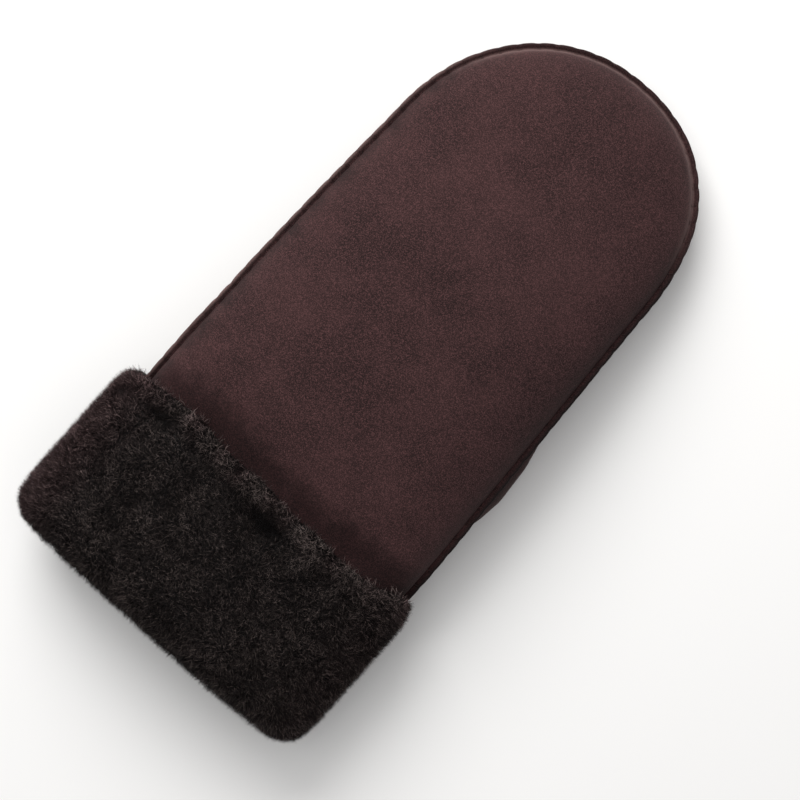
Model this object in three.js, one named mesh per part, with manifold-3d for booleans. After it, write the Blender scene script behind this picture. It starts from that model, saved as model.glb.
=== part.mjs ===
// A left-hand leather mitten with a turned-back sheepskin cuff, lying palm down.
// Leather back and palm meet in a narrow edge flange; the thumb pouch lies folded under the palm.
// Lengths are in millimetres. X runs across the hand, Y from the cuff to the fingertips, Z is up.
import * as THREE from "three";
import { mergeVertices } from "three/addons/utils/BufferGeometryUtils.js";
import Module from "manifold-3d";

// Overall sizes
const LENGTH = 280;
const CUFF_HEIGHT = 73;
const CUFF_WIDTH = 145.4;
const HAND_LENGTH = LENGTH - CUFF_HEIGHT;
const HAND_WIDTH = 130.4;
const HAND_THICK = 53.4;
const THUMB_WIDTH = 44.4;

// Walls and clearances
const GAP = 0.3;
const LEATHER = 1.8;
const LINING = 5;
const CUFF_WOOL = 8.5;
const CUFF_PRESS = 1.3;
const THUMB_WALL = 2.4;
const THUMB_PRESS = 0.9;
const FLANGE = 2.6;
const NARROW_FLANGE = 1;
const FLANGE_THICK = 1.3;

// The rounded fingertip is a superellipse on top of the straight sides.
const TIP_START = CUFF_HEIGHT + 0.6763 * HAND_LENGTH;
const TIP_LENGTH = LENGTH - TIP_START;
const TIP_POWER = 2.15;
const SPINE_END = CUFF_HEIGHT + 0.7874 * HAND_LENGTH;
const SECTION_POWER = 2.4;

// Where the leather and the lining start, inside the fold of the cuff
const PANEL_START = CUFF_WOOL * 1.41;
const LINING_START = CUFF_WOOL * 1.706;

// How finely the forms are divided
const SIDE_STEPS = 16;
const TIP_STEPS = 10;
const ACROSS_STEPS = 7;
const CUFF_STEPS = 56;
const THUMB_RINGS = 18;
const THUMB_POINTS = 24;

// In the tables, at is a share of the hand's length beyond the cuff, counted from the cuff's rim,
// widths are shares of the hand's width, and heights are shares of its thickness.

// Outline seen from above: the middle of the hand and the half width
const OUTLINE = [
  { at: -0.3526, middle: 0.0115, half: 0.5000 },
  { at: 0.0097, middle: 0.0115, half: 0.5000 },
  { at: 0.2271, middle: 0.0092, half: 0.4908 },
  { at: 0.4686, middle: 0.0069, half: 0.4778 },
  { at: 0.6763, middle: 0.0077, half: 0.4678 },
  { at: 0.7923, middle: 0.0138, half: 0.4663 },
  { at: 0.8647, middle: 0.0230, half: 0.4663 },
  { at: 0.9372, middle: 0.0307, half: 0.4663 },
  { at: 1.0000, middle: 0.0353, half: 0.4663 },
];

// Side view: height of the edge seam, rise of the back over it, fall of the palm under it,
// and how the cross-section closes at the seam: 0.42 is a full round, 0.6 a pinched edge
const PROFILE = [
  { at: -0.3526, seam: 0.4869, back: 0.3277, palm: 0.3277, pinch: 0.42 },
  { at: -0.0097, seam: 0.4869, back: 0.3277, palm: 0.3277, pinch: 0.42 },
  { at: 0.0531, seam: 0.5318, back: 0.3633, palm: 0.2996, pinch: 0.48 },
  { at: 0.1304, seam: 0.5730, back: 0.3970, palm: 0.2921, pinch: 0.55 },
  { at: 0.2754, seam: 0.5918, back: 0.4082, palm: 0.2996, pinch: 0.58 },
  { at: 0.4444, seam: 0.5693, back: 0.4007, palm: 0.2921, pinch: 0.58 },
  { at: 0.5652, seam: 0.5206, back: 0.3820, palm: 0.2547, pinch: 0.58 },
  { at: 0.6377, seam: 0.4757, back: 0.3708, palm: 0.2921, pinch: 0.57 },
  { at: 0.7101, seam: 0.4270, back: 0.3558, palm: 0.3670, pinch: 0.56 },
  { at: 0.7874, seam: 0.3820, back: 0.3371, palm: 0.4045, pinch: 0.55 },
  { at: 0.9034, seam: 0.3371, back: 0.3184, palm: 0.3745, pinch: 0.55 },
  { at: 1.0000, seam: 0.3109, back: 0.2996, palm: 0.3371, pinch: 0.55 },
];

// Soft puckers of the back where it dips under the cuff's edge
const PUCKERS = [
  { x: -0.429, deep: 0.026, wide: 0.046, long: 0.077 },
  { x: -0.230, deep: 0.049, wide: 0.100, long: 0.116 },
  { x: -0.069, deep: 0.030, wide: 0.046, long: 0.087 },
  { x: 0.130, deep: 0.045, wide: 0.046, long: 0.082 },
  { x: 0.291, deep: 0.052, wide: 0.069, long: 0.106 },
  { x: 0.445, deep: 0.022, wide: 0.038, long: 0.058 },
];

// Ragged rim of the cuff across the back: place as a share of the cuff's width, shift of its height
const RIM = [
  { x: -0.502, shift: -0.0479 },
  { x: -0.433, shift: -0.0055 },
  { x: -0.351, shift: 0.0137 },
  { x: -0.261, shift: 0.0260 },
  { x: -0.144, shift: -0.0041 },
  { x: 0.000, shift: -0.0014 },
  { x: 0.076, shift: -0.0301 },
  { x: 0.151, shift: -0.0192 },
  { x: 0.261, shift: -0.0356 },
  { x: 0.358, shift: -0.0301 },
  { x: 0.447, shift: 0.0192 },
  { x: 0.502, shift: -0.0274 },
];

// Hollows and raised tufts beside the rim, as shares of the cuff's width, height and wool
const TUFTS = [
  { x: -0.330, below: 0.075, rise: -0.282, wide: 0.041 },
  { x: -0.289, below: 0.000, rise: 0.141, wide: 0.034 },
  { x: -0.062, below: 0.048, rise: 0.165, wide: 0.048 },
  { x: 0.041, below: 0.178, rise: -0.141, wide: 0.062 },
  { x: 0.186, below: 0.075, rise: 0.176, wide: 0.055 },
  { x: 0.096, below: 0.137, rise: -0.165, wide: 0.041 },
  { x: 0.385, below: 0.123, rise: 0.106, wide: 0.062 },
];

// Thumb pouch: middle, half width and how far its top rises into the palm
const THUMB = [
  { at: 0.043, x: 0.322, half: 0.428, rise: 0.150 },
  { at: 0.130, x: 0.345, half: 0.482, rise: 0.215 },
  { at: 0.237, x: 0.357, half: 0.500, rise: 0.225 },
  { at: 0.324, x: 0.347, half: 0.505, rise: 0.103 },
  { at: 0.391, x: 0.330, half: 0.500, rise: -0.007 },
  { at: 0.498, x: 0.296, half: 0.482, rise: -0.007 },
  { at: 0.604, x: 0.261, half: 0.464, rise: -0.007 },
];
const THUMB_START = CUFF_HEIGHT + 0.0435 * HAND_LENGTH;
const THUMB_END = CUFF_HEIGHT + 0.6039 * HAND_LENGTH;
const THUMB_POWER = 2.7;
const THUMB_BLUNT = 3.6;
const THUMB_ROUND = 0.85;

const COLOURS = {
  leather: { color: 0x3f2c2b, roughness: 0.82, metalness: 0 },
  leatherDark: { color: 0x38282a, roughness: 0.84, metalness: 0 },
  wool: { color: 0x1f1b1a, roughness: 1, metalness: 0 },
};

// Value of one column of a table at a place between its rows, joined by smooth cubic pieces
function read(table, key, column, at) {
  const last = table.length - 1;
  if (at <= table[0][key]) return table[0][column];
  if (at >= table[last][key]) return table[last][column];
  let row = 0;
  while (table[row + 1][key] < at) row += 1;
  const step = (a, b) => (table[b][column] - table[a][column]) / (table[b][key] - table[a][key]);
  const slope = (i) => {
    if (i === 0 || i === last) return 0;
    const before = step(i - 1, i);
    const after = step(i, i + 1);
    return before * after <= 0 ? 0 : (2 * before * after) / (before + after);
  };
  const span = table[row + 1][key] - table[row][key];
  const s = (at - table[row][key]) / span;
  const bend = s * s * (3 - 2 * s);
  const start = s * (1 - s) * (1 - s) * span * slope(row);
  const end = s * s * (1 - s) * span * slope(row + 1);
  return table[row][column] * (1 - bend) + table[row + 1][column] * bend + start - end;
}

const handShare = (y) => (y - CUFF_HEIGHT) / HAND_LENGTH;
const middle = (y) => HAND_WIDTH * read(OUTLINE, "at", "middle", handShare(y));
const halfWidth = (y) => HAND_WIDTH * read(OUTLINE, "at", "half", handShare(y));
const profile = (column, y) => HAND_THICK * read(PROFILE, "at", column, handShare(y));
const pinchAt = (y) => read(PROFILE, "at", "pinch", handShare(y));

// The flange is narrow under the cuff and full above it.
function flangeWidth(y) {
  const s = THREE.MathUtils.smoothstep(y, 0.84 * CUFF_HEIGHT, 0.97 * CUFF_HEIGHT);
  return THREE.MathUtils.lerp(NARROW_FLANGE, FLANGE, s);
}

// Stations round the outline, from the wrist at the left, over the fingertip, to the wrist at the
// right. Each has its side, its place along the straight part, and its turn round the fingertip.
function stations(start) {
  const half = [{ y: start, turn: 0 }];
  for (let i = 1; i < SIDE_STEPS; i += 1) {
    const y = PANEL_START + ((TIP_START - PANEL_START) * i) / SIDE_STEPS;
    if (y > start + 1) half.push({ y, turn: 0 });
  }
  for (let i = 0; i < TIP_STEPS; i += 1) {
    half.push({ y: TIP_START, turn: ((Math.PI / 2) * i) / TIP_STEPS });
  }
  const left = half.map((station) => ({ ...station, side: -1 }));
  const right = half.map((station) => ({ ...station, side: 1 })).reverse();
  return [...left, { y: TIP_START, turn: Math.PI / 2, side: 1 }, ...right];
}

// Point of the outline at a station, moved inwards by an inset
function outlinePoint(station, inset) {
  const share = Math.pow(Math.max(Math.cos(station.turn), 0), 2 / TIP_POWER);
  const rise = Math.pow(Math.sin(station.turn), 2 / TIP_POWER);
  const y = station.y + (TIP_LENGTH - inset) * rise;
  const x = middle(y) + station.side * (halfWidth(y) - inset) * (share < 1e-6 ? 0 : share);
  return new THREE.Vector2(x, y);
}

// Point of the hand's middle line that a station looks to
function spinePoint(station) {
  const y = station.y + (SPINE_END - TIP_START) * Math.sin(station.turn);
  return new THREE.Vector2(middle(y), y);
}

// Depth of the puckers of the back at a place
function puckerDepth(x, y) {
  let depth = 0;
  for (const pucker of PUCKERS) {
    const across = (x / HAND_WIDTH - pucker.x) / pucker.wide;
    const along = THREE.MathUtils.clamp((handShare(y) + 0.029) / pucker.long, 0, 1);
    const under = THREE.MathUtils.smoothstep(y, 0.84 * CUFF_HEIGHT, 0.96 * CUFF_HEIGHT);
    const deep = pucker.deep * HAND_THICK;
    depth += deep * Math.exp(-across * across) * (1 - along) * (1 - along) * under;
  }
  return depth;
}

// One line of points from the hand's middle line out to the seam, on the back or the palm.
// The inset and the drop move it inwards, as for the inside of a wall; it stays above the floor.
function acrossLine(station, face, inset, drop, floor) {
  const edge = outlinePoint(station, inset);
  const skinEdge = outlinePoint(station, flangeWidth(station.y));
  const spine = spinePoint(station);
  const rise = profile(face > 0 ? "back" : "palm", spine.y) - drop;
  const pinch = pinchAt(spine.y);
  const line = [];
  for (let i = ACROSS_STEPS; i >= 0; i -= 1) {
    const t = i === 0 ? 1 : Math.cos(((Math.PI / 2) * i) / ACROSS_STEPS);
    const share = i === ACROSS_STEPS ? 0 : t;
    const x = THREE.MathUtils.lerp(spine.x, edge.x, share);
    const y = THREE.MathUtils.lerp(spine.y, edge.y, share);
    const seam = THREE.MathUtils.lerp(profile("seam", spine.y), profile("seam", edge.y), share);
    const shape = Math.pow(1 - Math.pow(share, SECTION_POWER), pinch);
    const skinX = THREE.MathUtils.lerp(spine.x, skinEdge.x, share);
    const dent = face > 0 ? puckerDepth(skinX, y) * shape : 0;
    const z = seam + face * rise * shape - dent;
    line.push(new THREE.Vector3(x, y, Math.max(z, floor)));
  }
  return line;
}

// Triangles of the strip between two lines that have the same number of points. Each patch is cut
// along its shorter diagonal, so that the skins of a wall are cut alike.
function strip(triangles, lineA, lineB) {
  for (let k = 0; k + 1 < lineA.length; k += 1) {
    const [a, b, c, d] = [lineA[k], lineB[k], lineB[k + 1], lineA[k + 1]];
    if (a.distanceTo(c) <= b.distanceTo(d)) {
      triangles.push(a, b, c, a, c, d);
    } else {
      triangles.push(a, b, d, b, c, d);
    }
  }
}

// Closed geometry from triangles that share their corners
function closedGeometry(triangles) {
  const flat = triangles.flatMap((point) => [point.x, point.y, point.z]);
  const geometry = new THREE.BufferGeometry();
  geometry.setAttribute("position", new THREE.Float32BufferAttribute(flat, 3));
  return mergeVertices(geometry, 1e-4);
}

const wasm = await Module();
wasm.setup();

// Solid of a closed list of triangles, turned right side out
function solidOf(triangles) {
  const geometry = closedGeometry(triangles);
  const vertProperties = geometry.attributes.position.array;
  const corners = Array.from(geometry.index.array);
  const kept = [];
  for (let i = 0; i < corners.length; i += 3) {
    const [a, b, c] = corners.slice(i, i + 3);
    if (a !== b && b !== c && c !== a) kept.push(a, b, c);
  }
  const build = (order) =>
    new wasm.Manifold(new wasm.Mesh({ numProp: 3, vertProperties, triVerts: new Uint32Array(order) }));
  const solid = build(kept);
  if (solid.volume() > 0) return solid;
  const turned = [];
  for (let i = 0; i < kept.length; i += 3) turned.push(kept[i], kept[i + 2], kept[i + 1]);
  return build(turned);
}

// The largest single body of a solid
function largestBody(solid) {
  const bodies = solid.decompose();
  return bodies.reduce((best, body) => (body.volume() > best.volume() ? body : best));
}

// Solid of a row of open loops, capped at both ends, each loop running out to the seam and back in
function cappedSolid(loops) {
  const triangles = [];
  for (let i = 0; i + 1 < loops.length; i += 1) strip(triangles, loops[i], loops[i + 1]);
  const half = loops[0].length / 2;
  const first = loops[0];
  const last = loops[loops.length - 1];
  strip(triangles, first.slice(half).reverse(), first.slice(0, half));
  strip(triangles, last.slice(0, half), last.slice(half).reverse());
  return solidOf(triangles);
}

// Leather panel of the back or the palm: domed wall and the flange round its edge
function panelSolid(face) {
  const seamAt = (point) => profile("seam", point.y) + (face * GAP) / 2;
  const loops = stations(PANEL_START).map((station) => {
    const flange = flangeWidth(station.y);
    const outer = acrossLine(station, face, flange, 0, 0);
    const inner = acrossLine(station, face, flange + LEATHER, LEATHER, LEATHER).reverse();
    const rim = outlinePoint(station, 0);
    const root = outer[outer.length - 1];
    root.z = seamAt(root) + face * FLANGE_THICK;
    inner[0].z = seamAt(inner[0]);
    const rimTop = new THREE.Vector3(rim.x, rim.y, seamAt(rim) + face * FLANGE_THICK);
    const rimSeam = new THREE.Vector3(rim.x, rim.y, seamAt(rim));
    return [...outer, rimTop, rimSeam, ...inner];
  });
  return cappedSolid(loops);
}

// Wool on the inside of the back or the palm, from the leather in to the hollow for the hand
function woolSolid(face) {
  const seamAt = (point) => profile("seam", point.y) + (face * GAP) / 2;
  const skin = LEATHER + GAP;
  const loops = stations(LINING_START).map((station) => {
    const flange = flangeWidth(station.y);
    const outer = acrossLine(station, face, flange + skin, skin, skin);
    const depth = skin + LINING;
    const inner = acrossLine(station, face, flange + depth, depth, depth).reverse();
    outer[outer.length - 1].z = seamAt(outer[outer.length - 1]);
    inner[0].z = seamAt(inner[0]);
    return [...outer, ...inner];
  });
  return cappedSolid(loops);
}

// Filled form of the whole hand, with a flat end towards the wrist
function handForm(start, inset, drop, floor) {
  const lines = stations(start).map((station) => {
    const width = flangeWidth(station.y) + inset;
    const back = acrossLine(station, 1, width, drop, floor);
    const palm = acrossLine(station, -1, width, drop, floor);
    return { back, palm };
  });
  const triangles = [];
  for (let i = 0; i + 1 < lines.length; i += 1) {
    strip(triangles, lines[i].back, lines[i + 1].back);
    strip(triangles, lines[i + 1].palm, lines[i].palm);
  }
  const last = lines[lines.length - 1];
  strip(triangles, lines[0].palm, lines[0].back);
  strip(triangles, last.back, last.palm);
  return solidOf(triangles);
}

// Height of the underside of the palm at a place near the hand's middle part
function palmUnderside(x, y) {
  const across = Math.min(Math.abs(x - middle(y)) / (halfWidth(y) - FLANGE), 1);
  const shape = Math.pow(1 - Math.pow(across, SECTION_POWER), pinchAt(y));
  return profile("seam", y) - profile("palm", y) * shape;
}

// Closed form of the thumb, flattened on the floor; a positive shrink gives its hollow
function thumbForm(shrink) {
  const triangles = [];
  const start = THUMB_START + shrink;
  const end = THUMB_END - shrink;
  const rings = [];
  for (let k = 0; k <= THUMB_RINGS; k += 1) {
    const turn = -Math.PI / 2 + (Math.PI * k) / THUMB_RINGS;
    const along = Math.sign(Math.sin(turn)) * Math.pow(Math.abs(Math.sin(turn)), 2 / THUMB_POWER);
    const atEnd = k === 0 || k === THUMB_RINGS;
    const share = atEnd ? 0 : Math.pow(Math.cos(turn), 2 / THUMB_POWER);
    const depth = atEnd ? 0 : Math.pow(Math.cos(turn), 2 / THUMB_BLUNT);
    const y = (start + end) / 2 + ((end - start) / 2) * along;
    const column = (name) => read(THUMB, "at", name, handShare(y));
    const x = HAND_WIDTH * column("x");
    const half = THUMB_WIDTH * column("half") - shrink;
    const top = palmUnderside(x, y) + HAND_THICK * column("rise") - shrink;
    const bottom = shrink - THUMB_PRESS;
    const centre = (top + bottom) / 2;
    const ring = [];
    for (let j = 0; j <= THUMB_POINTS; j += 1) {
      const angle = (2 * Math.PI * (j % THUMB_POINTS)) / THUMB_POINTS;
      const c = Math.cos(angle);
      const s = Math.sin(angle);
      const wide = Math.sign(c) * Math.pow(Math.abs(c), THUMB_ROUND);
      const high = Math.sign(s) * Math.pow(Math.abs(s), THUMB_ROUND);
      const px = x + half * share * wide;
      const pz = centre + ((top - bottom) / 2) * depth * high;
      ring.push(new THREE.Vector3(px, y, Math.max(pz, shrink)));
    }
    rings.push(ring);
  }
  for (let k = 0; k < THUMB_RINGS; k += 1) strip(triangles, rings[k], rings[k + 1]);
  return solidOf(triangles);
}

// Section of the cuff: beside the leather, over the rim, down the outside, round the fold,
// and up inside the mouth. Edge is the share of the rim's own shift that a row follows.
function cuffSection() {
  const wool = CUFF_WOOL;
  const bodyWide = halfWidth(0);
  const bodyHigh = profile("back", 0);
  const outWide = CUFF_WIDTH / 2;
  const outHigh = bodyHigh + wool;
  const slotWide = bodyWide - NARROW_FLANGE - LEATHER - 2 * GAP;
  const slotHigh = bodyHigh - LEATHER - 2 * GAP;
  const mouthWide = slotWide - LINING;
  const mouthHigh = slotHigh - LINING;
  const row = (y, wide, high, edge = 0) => ({ y, wide, high, edge });
  return [
    row(PANEL_START - GAP, bodyWide + 2 * GAP, bodyHigh + GAP),
    row(0.89 * CUFF_HEIGHT, bodyWide + 2 * GAP, bodyHigh + GAP),
    row(CUFF_HEIGHT - 0.14 * wool, bodyWide + 0.14 * wool, bodyHigh + 0.19 * wool, 1),
    row(CUFF_HEIGHT + 0.05 * wool, bodyWide + 0.4 * wool, bodyHigh + 0.47 * wool, 1),
    row(CUFF_HEIGHT - 0.16 * wool, outWide - 0.16 * wool, outHigh - 0.22 * wool, 0.8),
    row(CUFF_HEIGHT - 0.7 * wool, outWide - 0.04 * wool, outHigh - 0.05 * wool, 0.4),
    row(0.78 * CUFF_HEIGHT, outWide, outHigh),
    row(0.6 * CUFF_HEIGHT, outWide, outHigh),
    row(0.41 * CUFF_HEIGHT, outWide, outHigh),
    row(2 * wool, outWide, outHigh),
    row(0.94 * wool, outWide - 0.1 * wool, outHigh - 0.1 * wool),
    row(0.35 * wool, outWide - 0.35 * wool, outHigh - 0.35 * wool),
    row(0, outWide - 0.75 * wool, outHigh - 0.75 * wool),
    row(0.06 * wool, mouthWide + 0.59 * wool, mouthHigh + 0.59 * wool),
    row(0.42 * wool, mouthWide + 0.19 * wool, mouthHigh + 0.19 * wool),
    row(0.94 * wool, mouthWide, mouthHigh),
    row(LINING_START - GAP, mouthWide, mouthHigh),
    row(LINING_START - GAP, slotWide, slotHigh),
    row(PANEL_START - GAP, slotWide, slotHigh),
  ];
}

// How far the ragged rim stands from its mean height at a place round the cuff
function rimShift(x, angle) {
  const back = CUFF_HEIGHT * read(RIM, "x", "shift", x / CUFF_WIDTH);
  const under = 0.13 * Math.sin(9 * angle + 0.7) + 0.08 * Math.sin(17 * angle);
  if (Math.sin(angle) > 0) return back;
  return CUFF_WOOL * under * Math.min(1, -4 * Math.sin(angle)) + back * 0.5;
}

// Rise of the tufts and the gentle unevenness of the wool
function woolRise(x, y, angle) {
  const level = y / CUFF_HEIGHT;
  let rise = 0.053 * Math.sin(5 * angle + level * 8) * Math.cos(level * 11.7 + 3 * angle);
  for (const tuft of Math.sin(angle) > 0 ? TUFTS : []) {
    const along = ((1 - tuft.below) * CUFF_HEIGHT - y) / CUFF_WIDTH;
    const far = Math.hypot(x / CUFF_WIDTH - tuft.x, along) / tuft.wide;
    rise += tuft.rise * Math.exp(-far * far);
  }
  return CUFF_WOOL * rise;
}

// Turned-back cuff: the section carried round the wrist, flat where it rests
function cuffSolid() {
  const triangles = [];
  const section = cuffSection();
  const lines = [];
  for (let j = 0; j <= CUFF_STEPS; j += 1) {
    const angle = (2 * Math.PI * (j % CUFF_STEPS)) / CUFF_STEPS;
    const c = Math.cos(angle);
    const s = Math.sin(angle);
    const acrossShare = Math.abs(c) < 1e-9 ? 0 : c;
    const close = Math.pow(1 - Math.pow(Math.abs(acrossShare), SECTION_POWER), pinchAt(0));
    const upShare = Math.sign(s) * close;
    const line = section.map((row, k) => {
      const outside = k >= 3 && k <= 12;
      const level = row.y + (row.edge > 0 ? row.edge * rimShift(c * row.wide, angle) : 0);
      const rise = outside ? woolRise(c * row.wide, level, angle) : 0;
      const drift = middle(0) * (outside ? 0 : 1);
      const x = drift + acrossShare * (row.wide + rise * Math.abs(c) * 0.6);
      const under = outside && s < 0 ? CUFF_PRESS : 0;
      const z = profile("seam", 0) + upShare * (row.high + rise + under);
      return new THREE.Vector3(x, level, Math.max(z, 0));
    });
    line.push(line[0].clone());
    lines.push(line);
  }
  for (let j = 0; j < CUFF_STEPS; j += 1) strip(triangles, lines[j], lines[j + 1]);
  return solidOf(triangles);
}

// Mesh of a solid, moved so that the bounding box is centred on the origin
function meshOf(name, solid, look) {
  const made = solid.getMesh();
  const geometry = new THREE.BufferGeometry();
  geometry.setAttribute("position", new THREE.Float32BufferAttribute(made.vertProperties, 3));
  geometry.setIndex(Array.from(made.triVerts));
  geometry.translate(0, -LENGTH / 2, 0);
  geometry.computeVertexNormals();
  const mesh = new THREE.Mesh(geometry, new THREE.MeshStandardMaterial(look));
  mesh.name = name;
  return mesh;
}

const thumbHollow = thumbForm(THUMB_WALL);
const handRoom = handForm(CUFF_HEIGHT / 2, -2 * GAP, -2 * GAP, 0);
const thumb = largestBody(thumbForm(0).subtract(thumbHollow).subtract(handRoom));
const palm = largestBody(panelSolid(-1).subtract(thumbHollow));
const palmWool = largestBody(woolSolid(-1).subtract(thumbHollow));

const mitten = new THREE.Group();
mitten.add(meshOf("back_panel", panelSolid(1), COLOURS.leather));
mitten.add(meshOf("palm_panel", palm, COLOURS.leather));
mitten.add(meshOf("thumb", thumb, COLOURS.leatherDark));
mitten.add(meshOf("cuff", cuffSolid(), COLOURS.wool));
mitten.add(meshOf("back_wool", woolSolid(1), COLOURS.wool));
mitten.add(meshOf("palm_wool", palmWool, COLOURS.wool));

export default mitten;
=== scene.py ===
# %% [markdown]
# A left-hand sheepskin mitten lies palm down on a pale floor. Its outside is brown sueded leather,
# and its inside and its turned-back cuff are the wool of the same hide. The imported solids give
# every size and place. This script dresses them: leather with a stitched edge, and grown wool.

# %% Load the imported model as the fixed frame
import math
from functools import partial

import bmesh
import bpy
import numpy as np
from mathutils import Matrix, Vector, noise


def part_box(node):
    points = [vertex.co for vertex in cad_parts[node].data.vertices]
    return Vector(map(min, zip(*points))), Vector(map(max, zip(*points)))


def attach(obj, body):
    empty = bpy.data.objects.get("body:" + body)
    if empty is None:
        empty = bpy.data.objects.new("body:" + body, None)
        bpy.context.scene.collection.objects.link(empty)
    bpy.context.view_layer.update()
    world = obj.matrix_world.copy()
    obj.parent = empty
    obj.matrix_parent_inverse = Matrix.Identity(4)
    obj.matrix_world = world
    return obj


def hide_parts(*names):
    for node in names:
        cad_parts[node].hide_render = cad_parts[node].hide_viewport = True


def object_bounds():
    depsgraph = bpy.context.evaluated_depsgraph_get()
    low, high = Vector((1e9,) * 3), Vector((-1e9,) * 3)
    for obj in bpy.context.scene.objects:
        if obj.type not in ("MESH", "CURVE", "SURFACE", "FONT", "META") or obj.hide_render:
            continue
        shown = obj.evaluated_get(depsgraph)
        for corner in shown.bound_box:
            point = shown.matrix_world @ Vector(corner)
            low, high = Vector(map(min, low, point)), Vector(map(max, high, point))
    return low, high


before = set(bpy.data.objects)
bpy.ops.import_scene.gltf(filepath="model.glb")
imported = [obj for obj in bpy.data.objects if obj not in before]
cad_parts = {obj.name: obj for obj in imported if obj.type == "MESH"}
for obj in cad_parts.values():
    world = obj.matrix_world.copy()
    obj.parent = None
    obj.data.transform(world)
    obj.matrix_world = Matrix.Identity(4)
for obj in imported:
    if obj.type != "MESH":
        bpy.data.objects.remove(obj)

# Blender starts with a cube, a lamp and a camera of its own, which would count as pieces.
for name in ("Cube", "Light", "Camera"):
    if name in bpy.data.objects:
        bpy.data.objects.remove(bpy.data.objects[name])

cad_low, cad_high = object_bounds()
print("nodes:", sorted(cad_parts))
print("size in mm:", [round(1000 * s, 1) for s in cad_high - cad_low])

# %% [markdown]
# The maker's sizes come first, in millimetres. Length runs along Y from the fold of the cuff to
# the fingertips, width along X, and Z is up. The frame gives the overall sizes. The rest are the
# same driving sizes and the same short tables that the solids follow, so the leather lies where
# its solid is.

# %% Sizes of the mitten
MM = 0.001

LENGTH = (cad_high.y - cad_low.y) / MM
CUFF_WIDTH = (cad_high.x - cad_low.x) / MM
back_low, back_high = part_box("back_panel")
HAND_WIDTH = (back_high.x - back_low.x) / MM
HAND_THICK = 53.4
CUFF_HEIGHT = 73.0
HAND_LENGTH = LENGTH - CUFF_HEIGHT
THUMB_WIDTH = 44.4

GAP = 0.3
LEATHER = 1.8
CUFF_WOOL = 8.5
CUFF_PRESS = 1.3
LINING = 5.0
FLANGE = 2.6
NARROW_FLANGE = 1.0

TIP_START = CUFF_HEIGHT + 0.6763 * HAND_LENGTH
TIP_LENGTH = LENGTH - TIP_START
TIP_POWER = 2.15
SPINE_END = CUFF_HEIGHT + 0.7874 * HAND_LENGTH
SECTION_POWER = 2.4
PANEL_START = CUFF_WOOL * 1.41
LINING_START = CUFF_WOOL * 1.706


def table(names, *rows):
    """A short table with named columns."""
    return {name: np.array(column, float) for name, column in zip(names.split(), zip(*rows))}


# Places are shares of the hand's length beyond the cuff, widths are shares of the hand's width,
# and heights are shares of its thickness.
OUTLINE = table(
    "at middle half",
    (-0.3526, 0.0115, 0.5000),
    (0.0097, 0.0115, 0.5000),
    (0.2271, 0.0092, 0.4908),
    (0.4686, 0.0069, 0.4778),
    (0.6763, 0.0077, 0.4678),
    (0.7923, 0.0138, 0.4663),
    (0.8647, 0.0230, 0.4663),
    (0.9372, 0.0307, 0.4663),
    (1.0000, 0.0353, 0.4663),
)
PROFILE = table(
    "at seam back palm pinch",
    (-0.3526, 0.4869, 0.3277, 0.3277, 0.42),
    (-0.0097, 0.4869, 0.3277, 0.3277, 0.42),
    (0.0531, 0.5318, 0.3633, 0.2996, 0.48),
    (0.1304, 0.5730, 0.3970, 0.2921, 0.55),
    (0.2754, 0.5918, 0.4082, 0.2996, 0.58),
    (0.4444, 0.5693, 0.4007, 0.2921, 0.58),
    (0.5652, 0.5206, 0.3820, 0.2547, 0.58),
    (0.6377, 0.4757, 0.3708, 0.2921, 0.57),
    (0.7101, 0.4270, 0.3558, 0.3670, 0.56),
    (0.7874, 0.3820, 0.3371, 0.4045, 0.55),
    (0.9034, 0.3371, 0.3184, 0.3745, 0.55),
    (1.0000, 0.3109, 0.2996, 0.3371, 0.55),
)
PUCKERS = table(
    "x deep wide long",
    (-0.429, 0.026, 0.046, 0.077),
    (-0.230, 0.049, 0.100, 0.116),
    (-0.069, 0.030, 0.046, 0.087),
    (0.130, 0.045, 0.046, 0.082),
    (0.291, 0.052, 0.069, 0.106),
    (0.445, 0.022, 0.038, 0.058),
)
RIM = table(
    "at shift",
    (-0.502, -0.0479),
    (-0.433, -0.0055),
    (-0.351, 0.0137),
    (-0.261, 0.0260),
    (-0.144, -0.0041),
    (0.000, -0.0014),
    (0.076, -0.0301),
    (0.151, -0.0192),
    (0.261, -0.0356),
    (0.358, -0.0301),
    (0.447, 0.0192),
    (0.502, -0.0274),
)
TUFTS = table(
    "x below rise wide",
    (-0.330, 0.075, -0.282, 0.041),
    (-0.289, 0.000, 0.141, 0.034),
    (-0.062, 0.048, 0.165, 0.048),
    (0.041, 0.178, -0.141, 0.062),
    (0.186, 0.075, 0.176, 0.055),
    (0.096, 0.137, -0.165, 0.041),
    (0.385, 0.123, 0.106, 0.062),
)


def read(rows, column, at):
    """The value of a column at places between the rows, joined by smooth cubic pieces."""
    keys, values = rows["at"], rows[column]
    at = np.clip(at, keys[0], keys[-1])
    row = np.clip(np.searchsorted(keys, at, side="right") - 1, 0, len(keys) - 2)
    steps = np.diff(values) / np.diff(keys)
    slopes = np.zeros(len(keys))
    before, after = steps[:-1], steps[1:]
    same_way = before * after > 0
    total = np.where(same_way, before + after, 1.0)
    slopes[1:-1] = np.where(same_way, 2 * before * after / total, 0.0)
    span = keys[row + 1] - keys[row]
    s = (at - keys[row]) / span
    bend = s * s * (3 - 2 * s)
    ease_in = s * (1 - s) ** 2 * span * slopes[row]
    ease_out = s * s * (1 - s) * span * slopes[row + 1]
    return values[row] * (1 - bend) + values[row + 1] * bend + ease_in - ease_out


def smooth_step(value, low, high):
    """0 below low, 1 above high, and a soft step between."""
    s = np.clip((value - low) / (high - low), 0, 1)
    return s * s * (3 - 2 * s)


def hand_share(y):
    return (y - CUFF_HEIGHT) / HAND_LENGTH


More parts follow.
